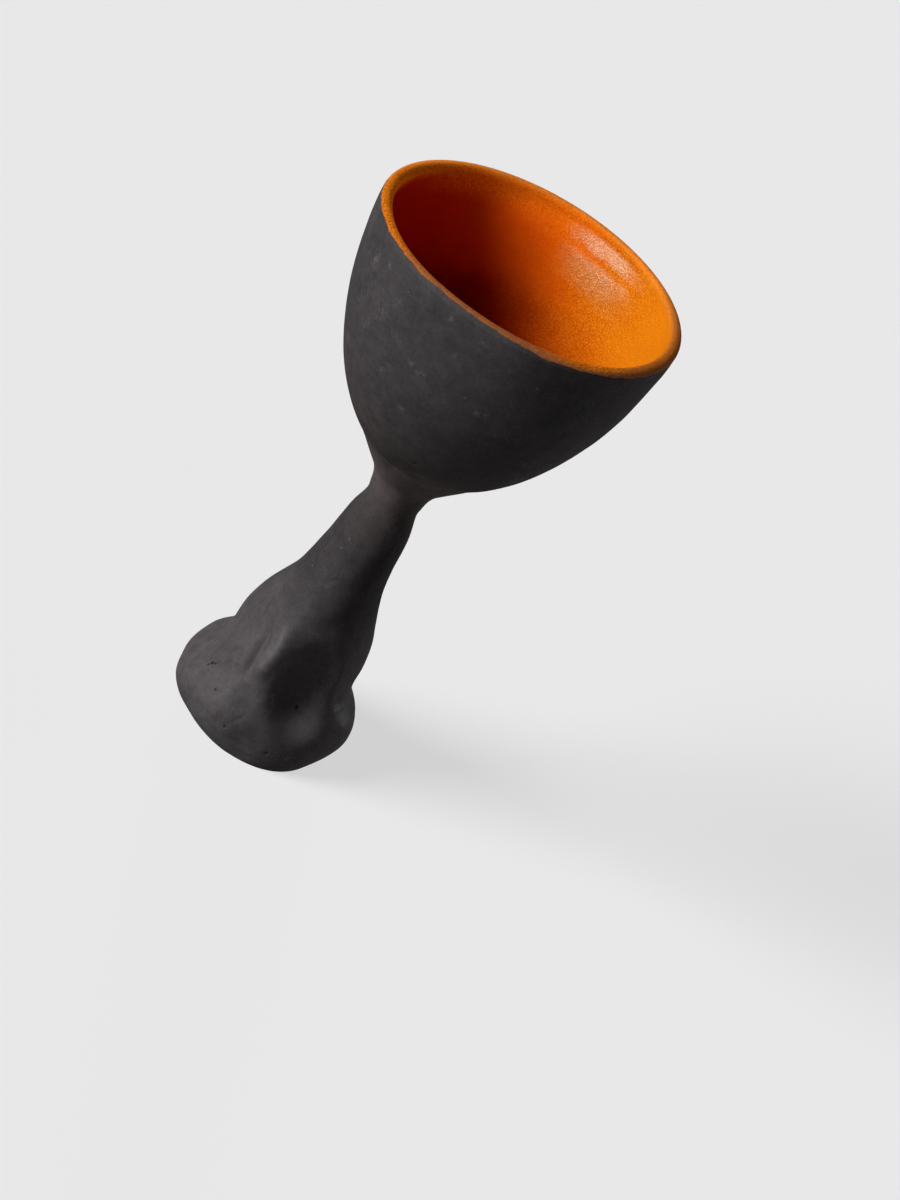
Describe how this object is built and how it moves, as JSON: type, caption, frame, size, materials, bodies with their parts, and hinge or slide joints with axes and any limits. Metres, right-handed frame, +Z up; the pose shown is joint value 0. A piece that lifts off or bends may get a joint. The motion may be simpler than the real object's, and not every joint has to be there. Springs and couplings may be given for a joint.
{
  "type": "goblet",
  "caption": "Hand-built clay goblet for drinking: a deep egg-shaped bowl, glazed inside and over the lip, on a pinched stem with a bun-shaped foot.",
  "frame": {"origin": "on the bowl's axis, in the plane that the foot stands on", "axes": "+Z up along the bowl's axis; -Y is the pictured front, with the thumb mark to its right"},
  "size_m": [0.096, 0.096, 0.18],
  "materials": {
    "charcoal_clay": "unglazed, rubbed smooth, matt",
    "orange_glaze": "satin, finely speckled, brown where thin",
    "slip": "matt"
  },
  "bodies": {
    "root": {"bowl": "charcoal_clay", "interior_glaze": "orange_glaze", "neck_collar": "charcoal_clay", "neck_slip": "slip", "stem": "charcoal_clay", "foot_slip": "slip", "foot": "charcoal_clay"}
  },
  "joints": []
}
